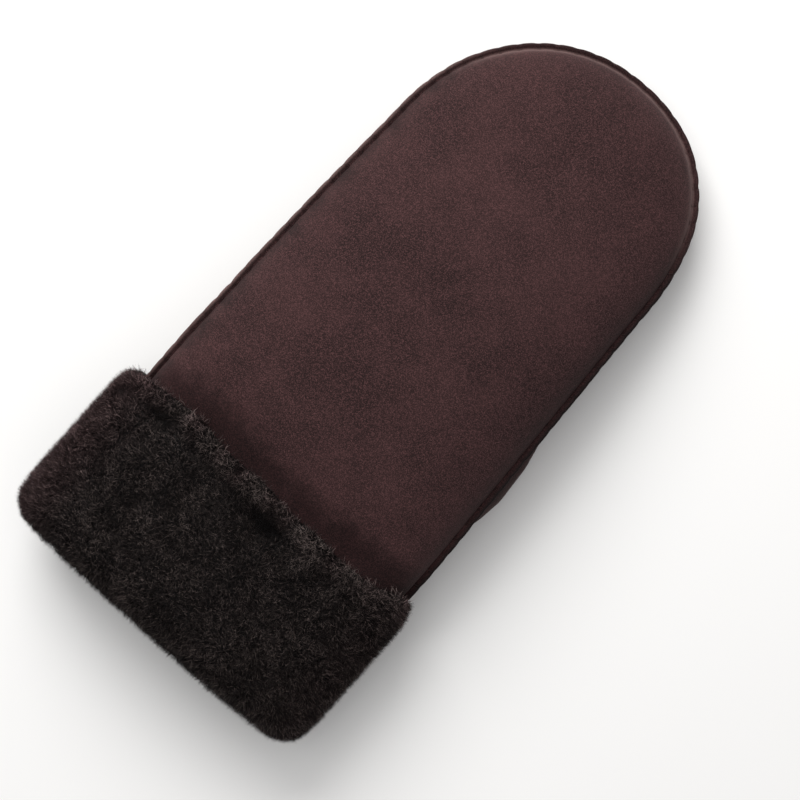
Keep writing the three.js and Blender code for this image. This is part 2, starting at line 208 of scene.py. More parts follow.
def middle(y):
    return HAND_WIDTH * read(OUTLINE, "middle", hand_share(y))


def half_width(y):
    return HAND_WIDTH * read(OUTLINE, "half", hand_share(y))


def profile(column, y):
    return HAND_THICK * read(PROFILE, column, hand_share(y))


def pinch_at(y):
    return read(PROFILE, "pinch", hand_share(y))


print("hand in mm:", round(HAND_WIDTH, 1), "wide,", round(HAND_LENGTH, 1), "beyond the cuff")

# %% [markdown]
# Materials are node trees. One helper adds any node with its settings and its inputs, and one
# turns a picked sRGB colour into the linear values that a shader works in. Every pattern reads
# Object coordinates, so its scale is one over the real size in metres.

# %% Helpers for node trees
ADD = {"operation": "ADD"}
MULTIPLY = {"operation": "MULTIPLY"}
POWER = {"operation": "POWER"}
COLOUR_MIX = {"data_type": "RGBA"}
RANGE = ("From Min", "From Max", "To Min", "To Max")


def linear(hex_colour):
    """An sRGB hex colour as linear RGBA."""
    parts = [int(hex_colour[i : i + 2], 16) / 255 for i in (1, 3, 5)]
    turned = [p / 12.92 if p <= 0.04045 else ((p + 0.055) / 1.055) ** 2.4 for p in parts]
    return (*turned, 1.0)


def add_node(tree, kind, settings=None, inputs=None):
    """Add a node with its settings. An input is a value, a socket, or a node's first output."""
    made = tree.nodes.new(kind)
    for name, value in (settings or {}).items():
        setattr(made, name, value)
    for name, value in (inputs or {}).items():
        if isinstance(value, bpy.types.Node):
            value = value.outputs[0]
        if isinstance(value, bpy.types.NodeSocket):
            tree.links.new(value, made.inputs[name])
        else:
            made.inputs[name].default_value = value
    return made


def new_material(name):
    """An empty material, add_node for its own tree, and its Object coordinates."""
    material = bpy.data.materials.new(name)
    material.use_nodes = True
    tree = material.node_tree
    tree.nodes.clear()
    node = partial(add_node, tree)
    return material, node, node("ShaderNodeTexCoord").outputs["Object"]


def per_metre(millimetres):
    """Texture scale that repeats a pattern at a real size."""
    return 1 / (millimetres * MM)


# %% [markdown]
# The leather is the flesh side of a sheepskin, sanded to a soft nap. That nap scatters light, so
# it is dull with a faint sheen at grazing angles. The eye sees cloudy patches some centimetres
# wide where the nap lies another way, and pin-sized grain. The real grain is about 0.2 mm, too
# fine for the picture, so it is drawn coarser, at 0.25 mm, with a few painted pinpoint glints.
# The leather pieces carry values for painted shade beside the cuff's rim, in the crease, on the
# flange at the right and the tip and down the right side, and for a painted highlight on the cut
# edge at the left, which is also paler in its own colour, and on the turned edge at the tip.

# %% Sueded sheepskin leather
LEATHER_DARK = "#201212"
LEATHER_LIGHT = "#513535"
# The next three colours are painted shade in the crease and on the shaded edge, the pale cut edge with a
# painted highlight, and painted shade beside the cuff's rim.
LEATHER_CREASE = "#080404"
LEATHER_CUT_AND_HIGHLIGHT = "#a88d89"
LEATHER_SHADE = "#a89a9a"
LEATHER_SHEEN = "#b89a96"
GRAIN_SIZE = 0.25
GRAIN_DEPTH = 0.09
PORE_SIZE = 1.5
FEW_LIGHT_GRAINS = 2.6
LOBE_SWING = 0.9

# Soft patterns, with size in mm, detail and roughness
LEATHER_NOISE = {
    "clouds": (42.0, 3.0, 0.55),
    "patches": (11.0, 2.0, 0.5),
    "nap": (0.9, 2.0, 0.6),
    "lobes": (8.0, 3.0, 0.5),
}
# What each pattern adds to the tone: two of its values, and the tones that they give. Past them
# the tone stays level, but the nap goes on.
LEATHER_TONES = {
    "clouds": (0.32, 0.68, 0.22, 0.44),
    "patches": (0.3, 0.7, -0.06, 0.06),
    "nap": (0.3, 0.7, -0.02, 0.02),
    "specks": (0.0, 1.0, -0.25, 0.9),
    "glints": (0.97, 1.0, 0.0, 0.8),
    "pores": (0.0, 0.25, -0.1, 0.0),
}
LOBED_SHADE = (0.78, 1.5, 0.0, 0.95)


def sueded_leather():
    material, node, place = new_material("sueded_sheepskin_leather")
    patterns = {}
    for name, (size, detail, rough) in LEATHER_NOISE.items():
        patterns[name] = node(
            "ShaderNodeTexNoise",
            inputs={"Vector": place, "Scale": per_metre(size), "Detail": detail, "Roughness": rough},
        )
    grains, pores = (
        node("ShaderNodeTexVoronoi", inputs={"Vector": place, "Scale": per_metre(size)})
        for size in (GRAIN_SIZE, PORE_SIZE)
    )
    luck = node("ShaderNodeSeparateColor", inputs={0: grains.outputs["Color"]})
    patterns["specks"] = node("ShaderNodeMath", POWER, {0: luck, 1: FEW_LIGHT_GRAINS})
    patterns["glints"] = luck.outputs[1]
    patterns["pores"] = pores

    tones = {}
    total = 0.0
    for name, span in LEATHER_TONES.items():
        tones[name] = node(
            "ShaderNodeMapRange",
            {"clamp": name != "nap"},
            {"Value": patterns[name], **dict(zip(RANGE, span))},
        )
        total = node("ShaderNodeMath", ADD, {0: total, 1: tones[name]})
    tone = node("ShaderNodeClamp", inputs={"Value": total})

    # Shade, crease and cut edge are values from the leather pieces for painted shade and a painted
    # highlight. The lobes break the painted shade beside the rim into blotches.
    shade, crease, cut_edge = (
        node("ShaderNodeAttribute", {"attribute_name": name}).outputs["Fac"]
        for name in ("shade", "crease", "cut_edge")
    )
    swing = node(
        "ShaderNodeMath",
        {"operation": "MULTIPLY_ADD"},
        {0: patterns["lobes"], 1: LOBE_SWING, 2: shade},
    )
    lobed = node(
        "ShaderNodeMapRange",
        {"interpolation_type": "SMOOTHSTEP"},
        {"Value": swing, **dict(zip(RANGE, LOBED_SHADE))},
    )
    colour = linear(LEATHER_DARK)
    for factor, blend, layer in (
        (tone, "MIX", LEATHER_LIGHT),
        (lobed, "MULTIPLY", LEATHER_SHADE),
        (crease, "MIX", LEATHER_CREASE),
        (cut_edge, "MIX", LEATHER_CUT_AND_HIGHLIGHT),
    ):
        mixed = node(
            "ShaderNodeMix",
            {**COLOUR_MIX, "blend_type": blend},
            {"Factor": factor, 6: colour, 7: linear(layer)},
        )
        colour = mixed.outputs[2]

    height = node("ShaderNodeMath", ADD, {0: luck, 1: tones["pores"]})
    raised = node(
        "ShaderNodeBump",
        inputs={"Strength": 0.55, "Distance": GRAIN_DEPTH * MM, "Height": height},
    )
    surface = node(
        "ShaderNodeBsdfPrincipled",
        inputs={
            "Base Color": colour,
            "Roughness": 0.88,
            "Specular IOR Level": 0.2,
            "Sheen Weight": 0.1,
            "Sheen Roughness": 0.45,
            "Sheen Tint": linear(LEATHER_SHEEN),
            "Normal": raised,
        },
    )
    node("ShaderNodeOutputMaterial", inputs={"Surface": surface})
    return material


# %% [markdown]
# Sheepskin wool is a mass of fine crimped hairs, dyed almost black. Light sinks between them, so
# the pile is very dark, and only single hairs and their tips catch a thin shine. Here that shade
# and shine are painted: the bed and the roots take a painted shade, each strand lightens towards
# its tip, and a few light hairs also stand in for painted glints. Each grown strand carries its
# own tone, and how far along it a point lies. From its bed it takes a lift, a painted light that
# is higher on raised locks, which catch more light than the hollows between them, and towards the
# thumb's end. It also takes a tint: the red-brown of the hide shows a little at the thumb's end
# and in some of the locks along the rim, and at the far end of the cuff the tint is that red-brown
# with a painted rim light.

# %% Dyed sheepskin wool
WOOL_ROOT_SHADE = "#090606"
WOOL_DARK = "#1b1616"
WOOL_LIGHT = "#ac9a94"
WOOL_TINT_DARK = "#2d1d1d"
WOOL_TINT_LIGHT = "#b09190"
LOCK_SHEEN_SIZE = 9.0


def dyed_wool():
    material, node, place = new_material("dyed_sheepskin_wool")
    tone, along, tint, lift = (
        node("ShaderNodeAttribute", {"attribute_name": name}).outputs["Fac"]
        for name in ("tone", "along", "tint", "lift")
    )
    locks = node(
        "ShaderNodeTexNoise",
        inputs={"Vector": place, "Scale": per_metre(LOCK_SHEEN_SIZE), "Detail": 2.0},
    )
    # The lift becomes painted light through raised and open_to_light, and locky is a painted sheen that
    # changes from lock to lock.
    raised, locky, open_to_light = (
        node("ShaderNodeMapRange", inputs={"Value": value, **dict(zip(RANGE, span))})
        for value, span in (
            (lift, (0.1, 0.9, 0.1, 1.9)),
            (locks, (0.35, 0.66, 0.45, 1.15)),
            (lift, (0.0, 0.45, 0.15, 1.0)),
        )
    )
    toned = node("ShaderNodeMath", MULTIPLY, {0: tone, 1: raised})
    share = node("ShaderNodeMath", MULTIPLY, {0: toned, 1: locky})
    bright = node("ShaderNodeMath", MULTIPLY, {0: along, 1: open_to_light})
    hair, red_hair = (
        node(
            "ShaderNodeMix",
            COLOUR_MIX,
            {"Factor": share, 6: linear(dark), 7: linear(light)},
        ).outputs[2]
        for dark, light in ((WOOL_DARK, WOOL_LIGHT), (WOOL_TINT_DARK, WOOL_TINT_LIGHT))
    )
    tinted = node("ShaderNodeMix", COLOUR_MIX, {"Factor": tint, 6: hair, 7: red_hair})
    # Painted shade: the bed and each strand's root take the root-shade colour, and a strand lightens
    # towards its tip, more where the lift is high.
    rooted = node(
        "ShaderNodeMix",
        COLOUR_MIX,
        {"Factor": bright, 6: linear(WOOL_ROOT_SHADE), 7: tinted.outputs[2]},
    )
    surface = node(
        "ShaderNodeBsdfPrincipled",
        inputs={"Base Color": rooted.outputs[2], "Roughness": 0.55, "Specular IOR Level": 0.12},
    )
    node("ShaderNodeOutputMaterial", inputs={"Surface": surface})
    return material


# %% [markdown]
# The edge is overcast with waxed thread, dark brown like the hide. Wax gives it a low gloss, and
# the twist of its plies shows as fine ridges.

# %% Waxed thread
THREAD_COLOUR = "#170e0e"
PLY_SIZE = 0.4
PLY_DEPTH = 0.05


def waxed_thread():
    material, node, place = new_material("waxed_thread")
    twist = node(
        "ShaderNodeTexNoise",
        inputs={"Vector": place, "Scale": per_metre(PLY_SIZE), "Detail": 1.0},
    )
    ridges = node(
        "ShaderNodeBump",
        inputs={"Strength": 0.4, "Distance": PLY_DEPTH * MM, "Height": twist},
    )
    surface = node(
        "ShaderNodeBsdfPrincipled",
        inputs={"Base Color": linear(THREAD_COLOUR), "Roughness": 0.6, "Normal": ridges},
    )
    node("ShaderNodeOutputMaterial", inputs={"Surface": surface})
    return material


LEATHER_LOOK = sueded_leather()
WOOL_LOOK = dyed_wool()
THREAD_LOOK = waxed_thread()
print("materials:", LEATHER_LOOK.name, WOOL_LOOK.name, THREAD_LOOK.name)

# %% [markdown]
# The hand is cut from two pieces of hide, a back and a palm, laid together and overcast all round.
# The outline runs straight up one side, round the fingertips and down the other. A grid bent to
# that outline gives even rows along the seam, which a cut-out of a flat sheet would not.

# %% Stations round the outline
STATION_STEP = 1.05


def outline_point(station_y, turn, side, inset):
    """Points of the outline, moved inwards by an inset."""
    share = np.clip(np.cos(turn), 0, 1) ** (2 / TIP_POWER)
    rise = np.sin(turn) ** (2 / TIP_POWER)
    y = station_y + (TIP_LENGTH - inset) * rise
    x = middle(y) + side * (half_width(y) - inset) * share
    return x, y


def even_stations(start):
    """Stations from the wrist, over the fingertips and back, evenly spaced along the edge."""
    steps = np.linspace(0, 2, 6001)
    rough_y = start + (TIP_START - start) * np.clip(steps, 0, 1)
    rough_turn = np.radians(90) * np.clip(steps - 1, 0, 1)
    x, y = outline_point(rough_y, rough_turn, -1, 0)
    run = np.concatenate([[0], np.cumsum(np.hypot(np.diff(x), np.diff(y)))])
    count = int(run[-1] / STATION_STEP)
    wanted = np.linspace(0, run[-1], count + 1)
    half_y = np.interp(wanted, run, rough_y)
    half_turn = np.interp(wanted, run, rough_turn)
    station_y = np.concatenate([half_y, half_y[-2::-1]])
    turn = np.concatenate([half_turn, half_turn[-2::-1]])
    side = np.concatenate([-np.ones(count + 1), np.ones(count)])
    length = np.concatenate([wanted, 2 * run[-1] - wanted[-2::-1]])
    return station_y, turn, side, length


def flange_width(y):
    """The edge flange is narrow under the cuff and full above it."""
    s = smooth_step(y, 0.84 * CUFF_HEIGHT, 0.97 * CUFF_HEIGHT)
    return NARROW_FLANGE + (FLANGE - NARROW_FLANGE) * s


def spine_point(station_y, turn):
    """Points of the hand's middle line that the stations look to."""
    y = station_y + (SPINE_END - TIP_START) * np.sin(turn)
    return middle(y), y


stations = even_stations(PANEL_START)
print("stations round the edge:", len(stations[0]), "over", round(stations[3][-1]), "mm")

# %% [markdown]
# The overcast stitches pull the cut edges in, so the outline is lightly scalloped, and the leather
# puckers beside each stitch. A pull is 1 at a stitch and falls to nothing between two.

# %% Pull of the stitches
STITCH_PITCH = 7.6
STITCH_REACH = 1.3
SCALLOP = 0.32


def stitch_count(length):
    return int(round(length[-1] / STITCH_PITCH))


def stitch_pull(length):
    pitch = length[-1] / stitch_count(length)
    off = (length / pitch) % 1.0
    near = np.minimum(off, 1 - off) * pitch
    return np.exp(-((near / STITCH_REACH) ** 2))


def edge_noise(length, size, seed):
    """Slow unevenness along the edge, from -1 to 1."""
    return np.array([noise.noise(Vector((s / size, seed, 0.0))) for s in length])


def rim_noise(x, size, seed):
    """Unevenness across the hand, from -1 to 1."""
    return np.array([noise.noise(Vector((px / size, seed, 0.0))) for px in x.ravel()]).reshape(x.shape)


def pucker_depth(x, y):
    """Depth of the soft puckers where the back dips under the cuff's rim."""
    depth = np.zeros_like(x)
    for px, deep, wide, long in zip(*PUCKERS.values()):
        across = (x / HAND_WIDTH - px) / wide
        along = np.clip((hand_share(y) + 0.029) / long, 0, 1)
        under = smooth_step(y, 0.84 * CUFF_HEIGHT, 0.96 * CUFF_HEIGHT)
        depth += deep * HAND_THICK * np.exp(-across * across) * (1 - along) ** 2 * under
    return depth


# %% [markdown]
# One closed section runs from the middle of the hand down the dome, through the crease where the
# thread pulls it in, over the raised cut edge, and back along the inside of the wall. Stacking it
# at every station makes a wall of real thickness in one grid. Soft dents a few centimetres wide
# keep the dome from looking moulded.

# %% Leather walls
DOME_ROWS = 30
INNER_ROWS = 12
CREASE_LIFT = 0.35
DENT_SIZE = 34.0
SMALL_DENT_SIZE = 15.0
DENT_DEPTH = 0.55
ROOT_REACH = 1.6
ROOT_PULL = 0.4
SHADE_REACH = 9.0
SHADE_FADE = 17.0

# The edge from the crease outwards: distance from the outline as a share of the flange, height,
# how much painted shade it gets at the right and the tip, how much painted shade its crease gets
# at the left, how much painted highlight the pale cut edge gets there, and how much painted
# highlight the turned leather gets at the tip
EDGE_SECTION = table(
    "at height dark crease pale turned",
    (0.90, 0.25, 0.05, 0.26, 0.00, 0.26),
    (0.78, 0.32, 0.12, 0.20, 0.00, 0.12),
    (0.64, 0.62, 0.22, 0.08, 0.02, 0.0),
    (0.50, 1.02, 0.45, 0.00, 0.10, 0.0),
    (0.36, 1.26, 0.70, 0.00, 0.20, 0.0),
    (0.22, 1.30, 0.85, 0.00, 0.25, 0.0),
    (0.10, 1.16, 1.00, 0.00, 0.25, 0.0),
    (0.02, 0.86, 1.00, 0.00, 0.25, 0.0),
    (0.00, 0.50, 1.00, 0.00, 0.25, 0.0),
    (0.02, 0.16, 1.00, 0.20, 0.12, 0.0),
    (0.30, 0.02, 1.00, 0.60, 0.00, 0.0),
    (0.90, 0.02, 1.00, 0.80, 0.00, 0.0),
)


def soft_dents(x, y, seed):
    """Soft unevenness of the hide over the hand, from about -1 to 1."""
    flat = [
        noise.noise(Vector((px / DENT_SIZE, py / DENT_SIZE, seed)))
        + 0.5 * noise.noise(Vector((px / SMALL_DENT_SIZE, py / SMALL_DENT_SIZE, seed + 9)))
        for px, py in zip(x.ravel(), y.ravel())
    ]
    return np.array(flat).reshape(x.shape)


def dome_rows(stations, face, shares, inset, drop, floor):
    """Rows of the dome at given shares of the way from the hand's middle to its edge."""
    station_y, turn, side, length = stations
    skin_x = outline_point(station_y, turn, side, flange_width(station_y))[0]
    edge_x, edge_y = outline_point(station_y, turn, side, flange_width(station_y) + inset)
    spine_x, spine_y = spine_point(station_y, turn)
    share = shares[None, :]
    x = spine_x[:, None] + (edge_x - spine_x)[:, None] * share
    y = spine_y[:, None] + (edge_y - spine_y)[:, None] * share
    seam = profile("seam", spine_y)[:, None] * (1 - share) + profile("seam", edge_y)[:, None] * share
    rise = profile("back" if face > 0 else "palm", spine_y) - drop
    shape = (1 - share**SECTION_POWER) ** pinch_at(spine_y)[:, None]
    z = seam + face * (rise[:, None] * shape + CREASE_LIFT * share**12)
    if face > 0:
        over_x = spine_x[:, None] + (skin_x - spine_x)[:, None] * share
        z = z - pucker_depth(over_x, y) * shape
    return x, y, np.maximum(z, floor)


def wall_points(stations, face):
    """All points of one leather wall, with its painted shade (shade and crease) and painted highlight
    (cut edge) values.
    """
    station_y, turn, side, length = stations
    pull = stitch_pull(length)[:, None]
    edge = {name: column[None, :] for name, column in EDGE_SECTION.items()}
    outer_shares = np.sin(np.linspace(0, math.pi / 2, DOME_ROWS))
    root_gap = (1 - outer_shares[None, :]) * 0.5 * HAND_WIDTH
    x, y, z = dome_rows(stations, face, outer_shares, 0.0, 0.0, 0.0)
    free = 1 - outer_shares[None, :] ** 8
    held = smooth_step(y, 0.9 * CUFF_HEIGHT, 1.35 * CUFF_HEIGHT)
    z = z + DENT_DEPTH * free * held * soft_dents(x, y, 3.0 * face)
    root = np.exp(-((root_gap / ROOT_REACH) ** 2))
    z = np.maximum(z - face * ROOT_PULL * pull * root, 0.0)

    flange = flange_width(station_y)[:, None]
    wander = edge_noise(length, 19.0, 4.0)[:, None]
    inset = flange * edge["at"]
    outward = 1 - edge["at"]
    drawn_in = SCALLOP * pull * (0.6 + wander)
    inset = inset + outward * (drawn_in + 0.14 * wander - 0.04)
    edge_x, edge_y = outline_point(station_y[:, None], turn[:, None], side[:, None], inset)
    height = edge["height"] * (1 - 0.2 * pull)
    edge_z = profile("seam", edge_y) + face * (GAP / 4 + height)

    inner_shares = np.sin(np.linspace(math.pi / 2, 0, INNER_ROWS))
    inner = dome_rows(stations, face, inner_shares, LEATHER, LEATHER, LEATHER)
    x = np.hstack([x, edge_x, inner[0]])
    y = np.hstack([y, edge_y, inner[1]])
    z = np.hstack([z, edge_z, inner[2]])

    rows = x.shape[1]
    in_dome = slice(0, DOME_ROWS)
    in_edge = slice(DOME_ROWS, DOME_ROWS + len(EDGE_SECTION["at"]))
    short_of_tip = smooth_step(-y, -0.93 * LENGTH, -0.8 * LENGTH)
    left = smooth_step(-x, 5.0, 40.0) * short_of_tip
    right = smooth_step(x, 5.0, 40.0) * short_of_tip
    # The crease values are painted shade: in the crease, on the flange at the right and the tip, and down
    # the right side of the dome.
    lobes = edge_noise(length, 7.0, 8.0)[:, None]
    uneven = np.clip(0.4 + 1.8 * lobes + 0.4 * pull, 0, 1)
    depth = np.zeros((len(length), rows))
    width = 1.2 + 3.0 * uneven * left[:, in_dome] + 3.6 * right[:, in_dome]
    strength = 0.05 + (0.1 + 0.4 * uneven) * left[:, in_dome] + 0.42 * right[:, in_dome]
    depth[:, in_dome] = np.exp(-((root_gap / width) ** 2)) * strength
    dark = edge["dark"] * (0.45 + 0.55 * right[:, in_edge])
    creased = edge["crease"] * (0.1 + 0.9 * uneven)
    depth[:, in_edge] = dark * (1 - left[:, in_edge]) + creased * left[:, in_edge]

    # The cut-edge values are a painted highlight: on the pale cut edge at the left, on the turned edge at
    # the tip and beside the crease there.
    cut_and_highlight = np.zeros_like(depth)
    at_tip = smooth_step(y, 0.62 * LENGTH, 0.8 * LENGTH) * (1 - left) * (1 - right)
    lit_left_cut_edge = edge["pale"] * left[:, in_edge] * (0.8 + 0.35 * wander) * (1 - 0.5 * pull)
    cut_and_highlight[:, in_edge] = lit_left_cut_edge + edge["turned"] * at_tip[:, in_edge]
    cut_and_highlight[:, in_dome] = 0.28 * np.exp(-(((root_gap - 0.2) / 1.3) ** 2)) * at_tip[:, in_dome]
    # The shade values are painted shade beside the cuff's rim, weaker on the palm.
    ragged = rim_noise(x, 13.0, 3.0)
    further = 5.5 * np.exp(-(((x + 34.0) / 15.0) ** 2))
    reach = CUFF_HEIGHT + SHADE_REACH + further + 3.0 * ragged
    shade = np.clip(0.6 + (reach - y) / SHADE_FADE, 0, 1) * (1.0 if face > 0 else 0.75)
    return x, y, z, {"shade": shade, "crease": depth, "cut_edge": cut_and_highlight}


# %% [markdown]
# Each piece is finished in the same way: its points become metres in the shared frame, its mesh
# gets a material and smooth shading, it is tied to the body, and the solid that it stands for is hidden.

# %% Helpers for pieces


def shift(x, y, z):
    """Maker's millimetres as a point of the frame, where the fold of the cuff is at the low end."""
    return Vector((x, y - LENGTH / 2, z)) * MM


def grid_mesh(x, y, z, values):
    """A bmesh grid whose points are moved to given places, with float values on its points."""
    bm = bmesh.new()
    rows, columns = x.shape
    bmesh.ops.create_grid(bm, x_segments=rows - 1, y_segments=columns - 1, size=1.0)
    layers = {name: bm.verts.layers.float.new(name) for name in values}
    for vert in bm.verts:
        i = round((vert.co.x + 1) / 2 * (rows - 1))
        j = round((vert.co.y + 1) / 2 * (columns - 1))
        vert.co = shift(x[i, j], y[i, j], z[i, j])
        for name, layer in layers.items():
            vert[layer] = float(np.clip(values[name][i, j], 0, 1))
    return bm


def mesh_from(name, bm):
    """A mesh with the geometry of a bmesh, which is freed."""
    mesh = bpy.data.meshes.new(name)
    bm.to_mesh(mesh)
    bm.free()
    return mesh


def place_object(name, data):
    """A new object in the scene."""
    made = bpy.data.objects.new(name, data)
    bpy.context.scene.collection.objects.link(made)
    return made


def finish_piece(name, bm, material, slot, *stands_for):
    """Turn a bmesh into a piece of the part."""
    return dress(place_object(name, mesh_from(name, bm)), material, slot, *stands_for)


def dress(piece, material, slot, *stands_for):
    """Give a piece its material, smooth shading and body, and hide the solids it replaces. The slot is
    not used.
    """
    piece.data.materials.clear()
    piece.data.materials.append(material)
    piece.data.shade_smooth()
    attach(piece, "root")
    if stands_for:
        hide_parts(*stands_for)
    triangles = sum(len(p.vertices) - 2 for p in piece.data.polygons)
    print(piece.name, "triangles:", triangles)
    return piece


def close_wall(bm):
    """Merge the halves of a wall at the middle line and cap its open end at the wrist."""
    bmesh.ops.remove_doubles(bm, verts=bm.verts, dist=0.02 * MM)
    open_edges = [edge for edge in bm.edges if edge.is_boundary]
    capped = bmesh.ops.holes_fill(bm, edges=open_edges, sides=0)
    bmesh.ops.triangulate(bm, faces=capped["faces"])
    bmesh.ops.recalc_face_normals(bm, faces=bm.faces)


TIP_EASING = 24


def ease_fingertip(bm):
    """Smooth the heights round the end of the middle line, where many rows meet."""
    low, high = shift(-34, TIP_START - 10, 0), shift(38, LENGTH - 16, 0)
    near = [v for v in bm.verts if low.x < v.co.x < high.x and low.y < v.co.y < high.y]
    heights_only = {"use_axis_x": False, "use_axis_y": False, "use_axis_z": True}
    for _ in range(TIP_EASING):
        bmesh.ops.smooth_vert(bm, verts=near, factor=0.5, **heights_only)


# %% Leather back
bm = grid_mesh(*wall_points(stations, 1))
close_wall(bm)
ease_fingertip(bm)
leather_back = finish_piece("leather_back", bm, LEATHER_LOOK, "leather", "back_panel")

# %% [markdown]
# The palm is the same wall turned down, with an opening where the thumb is let in. Faces inside
# the opening are deleted, the ragged edge that is left is slid onto the true outline, and the two
# skins are joined there by bridging their loops.

# %% Leather palm with the thumb's opening
HOLE_X = 0.337 * HAND_WIDTH
HOLE_Y = CUFF_HEIGHT + 0.2 * HAND_LENGTH
HOLE_HALF_WIDE = 0.405 * THUMB_WIDTH
HOLE_HALF_LONG = 0.145 * HAND_LENGTH
HOLE_POWER = 2.6


def hole_measure(co):
    """Below 1 inside the thumb's opening, 1 on its outline."""
    across = abs(co.x / MM - HOLE_X) / HOLE_HALF_WIDE
    along = abs(co.y / MM + LENGTH / 2 - HOLE_Y) / HOLE_HALF_LONG
    return (across**HOLE_POWER + along**HOLE_POWER) ** (1 / HOLE_POWER)


def cut_thumb_hole(bm):
    inside = [f for f in bm.faces if hole_measure(f.calc_center_median()) < 1]
    bmesh.ops.delete(bm, geom=inside, context="FACES")
    ragged = [edge for edge in bm.edges if edge.is_boundary]
    centre = shift(HOLE_X, HOLE_Y, 0)
    for vert in {v for edge in ragged for v in edge.verts}:
        grow = 1 / hole_measure(vert.co)
        vert.co.x = centre.x + (vert.co.x - centre.x) * grow
        vert.co.y = centre.y + (vert.co.y - centre.y) * grow
    bmesh.ops.bridge_loops(bm, edges=ragged)
    bmesh.ops.recalc_face_normals(bm, faces=bm.faces)


bm = grid_mesh(*wall_points(stations, -1))
close_wall(bm)
ease_fingertip(bm)
cut_thumb_hole(bm)
leather_palm = finish_piece("leather_palm", bm, LEATHER_LOOK, "leather", "palm_panel")

# %% [markdown]
# The thumb is a pouch of the same leather, pressed flat under the palm. Its solid already has the
# right form but is faceted. Voxel remeshing gives it an even skin, and smoothing rounds it as wet
# blocked leather rounds over a form.

# %% Leather thumb
THUMB_VOXEL = 1.1
THUMB_SMOOTHING = 12
LINING_VOXEL = 2.6
LINING_SMOOTHING = 4


def soft_copy(name, *nodes, voxel, smoothing):
    """Copy solids into one object, merge their loose triangles, remesh and smooth them."""
    bm = bmesh.new()
    for node in nodes:
        bm.from_mesh(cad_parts[node].data)
    bmesh.ops.remove_doubles(bm, verts=bm.verts, dist=0.001 * MM)
    piece = place_object(name, mesh_from(name, bm))
    remesh = piece.modifiers.new("even skin", "REMESH")
    remesh.mode = "VOXEL"
    remesh.voxel_size = voxel * MM
    ease = piece.modifiers.new("ease", "SMOOTH")
    ease.factor = 0.5
    ease.iterations = smoothing
    return apply_modifiers(piece)


def apply_modifiers(piece):
    """Keep the mesh that the modifiers give, and drop them."""
    seen = piece.evaluated_get(bpy.context.evaluated_depsgraph_get())
    finished = bpy.data.meshes.new_from_object(seen)
    piece.modifiers.clear()
    piece.data = finished
    return piece


leather_thumb = soft_copy("leather_thumb", "thumb", voxel=THUMB_VOXEL, smoothing=THUMB_SMOOTHING)
# The thumb's outer upper side, beside the hand's edge, is painted in shade.
shaded = leather_thumb.data.attributes.new("shade", "FLOAT", "POINT")
for vert in leather_thumb.data.vertices:
    outer = smooth_step(vert.co.x / MM, 0.38 * HAND_WIDTH, 0.43 * HAND_WIDTH)
    shaded.data[vert.index].value = outer * smooth_step(vert.co.z / MM, 6.0, 12.0)
dress(leather_thumb, LEATHER_LOOK, "leather", "thumb")

# %% [markdown]
# Overcasting passes the thread round the edge again and again. Each stitch is one small closed
# loop: a circle spun into a ring, flattened to go round the two leathers, leaned a little along
# the seam, and set in place. The ring has few faces, because there are so many of them.

# %% Overcast stitches
THREAD = 0.44
LOOP_SIDES = 5
LOOP_STEPS = 12
LOOP_HALF_HIGH = 1.3
STITCH_LEAN = math.radians(24)


def thread_loop(half_wide, half_high):
    """One closed ring of thread round the X axis, out along Y and up along Z."""
    bm = bmesh.new()
    ring = bmesh.ops.create_circle(bm, segments=LOOP_SIDES, radius=THREAD / 2 * MM)
    for axis in "XYZ":
        quarter = Matrix.Rotation(math.pi / 2, 3, axis)
        bmesh.ops.rotate(bm, verts=ring["verts"], cent=(0, 0, 0), matrix=quarter)
    bmesh.ops.translate(bm, verts=ring["verts"], vec=(0, half_high * MM, 0))
    bmesh.ops.spin(
        bm,
        geom=bm.verts[:] + bm.edges[:],
        cent=(0, 0, 0),
        axis=(1, 0, 0),
        angle=2 * math.pi,
        steps=LOOP_STEPS,
        use_merge=True,
    )
    bmesh.ops.scale(bm, verts=bm.verts, vec=(1, half_wide / half_high, 1))
    bmesh.ops.recalc_face_normals(bm, faces=bm.faces)
    return mesh_from("thread_loop", bm)


def sew(bm, loop, places):
    """Add a loop at each place, given as its centre, its way along the seam and its way out."""
    for centre, along, out in places:
        up = along.cross(out).normalized()
        lean = Matrix.Rotation(STITCH_LEAN, 3, up)
        turn = Matrix((lean @ along, lean @ out, up)).transposed().to_4x4()
        before = len(bm.verts)
        bm.from_mesh(loop)
        bm.verts.ensure_lookup_table()
        new = bm.verts[before:]
        bmesh.ops.transform(bm, matrix=Matrix.Translation(centre) @ turn, verts=new)


def edge_places(stations):
    """Where the edge stitches go: one for each scallop above the cuff's rim."""
    station_y, turn, side, length = stations
    count = stitch_count(length)
    places = []
    for k in range(1, count):
        at = length[-1] * k / count
        i = int(np.clip(np.searchsorted(length, at), 1, len(length) - 2))
        if turn[i] == 0 and station_y[i] < 0.93 * CUFF_HEIGHT:
            continue
        ends = [outline_point(station_y[j], turn[j], side[j], 0.5 * FLANGE + 0.2) for j in (i - 1, i + 1)]
        seams = [profile("seam", float(e[1])) for e in ends]
        before, after = (shift(float(e[0]), float(e[1]), float(s)) for e, s in zip(ends, seams))
        along = (after - before).normalized()
        out = along.cross(Vector((0, 0, 1))).normalized() * -1
        places.append(((before + after) / 2, along, out))
    return places


bm = bmesh.new()
sew(bm, thread_loop(0.5 * FLANGE - 0.15, LOOP_HALF_HIGH), edge_places(stations))
finish_piece("edge_stitches", bm, THREAD_LOOK, "leather")

# %% [markdown]
# The cuff is the hide turned back, wool outwards. Its section runs beside the leather, over the
# ragged rim, down the outside, round the fold and up inside the mouth. The same section, carried
# round the wrist, makes the bed that the wool grows from. The bed lies a few millimetres inside
# the pile's outer form, so the strands fill up to it.

# %% Bed of the cuff
BED_STEP = 1.6
CUFF_TURNS = 230
PILE = 3.0


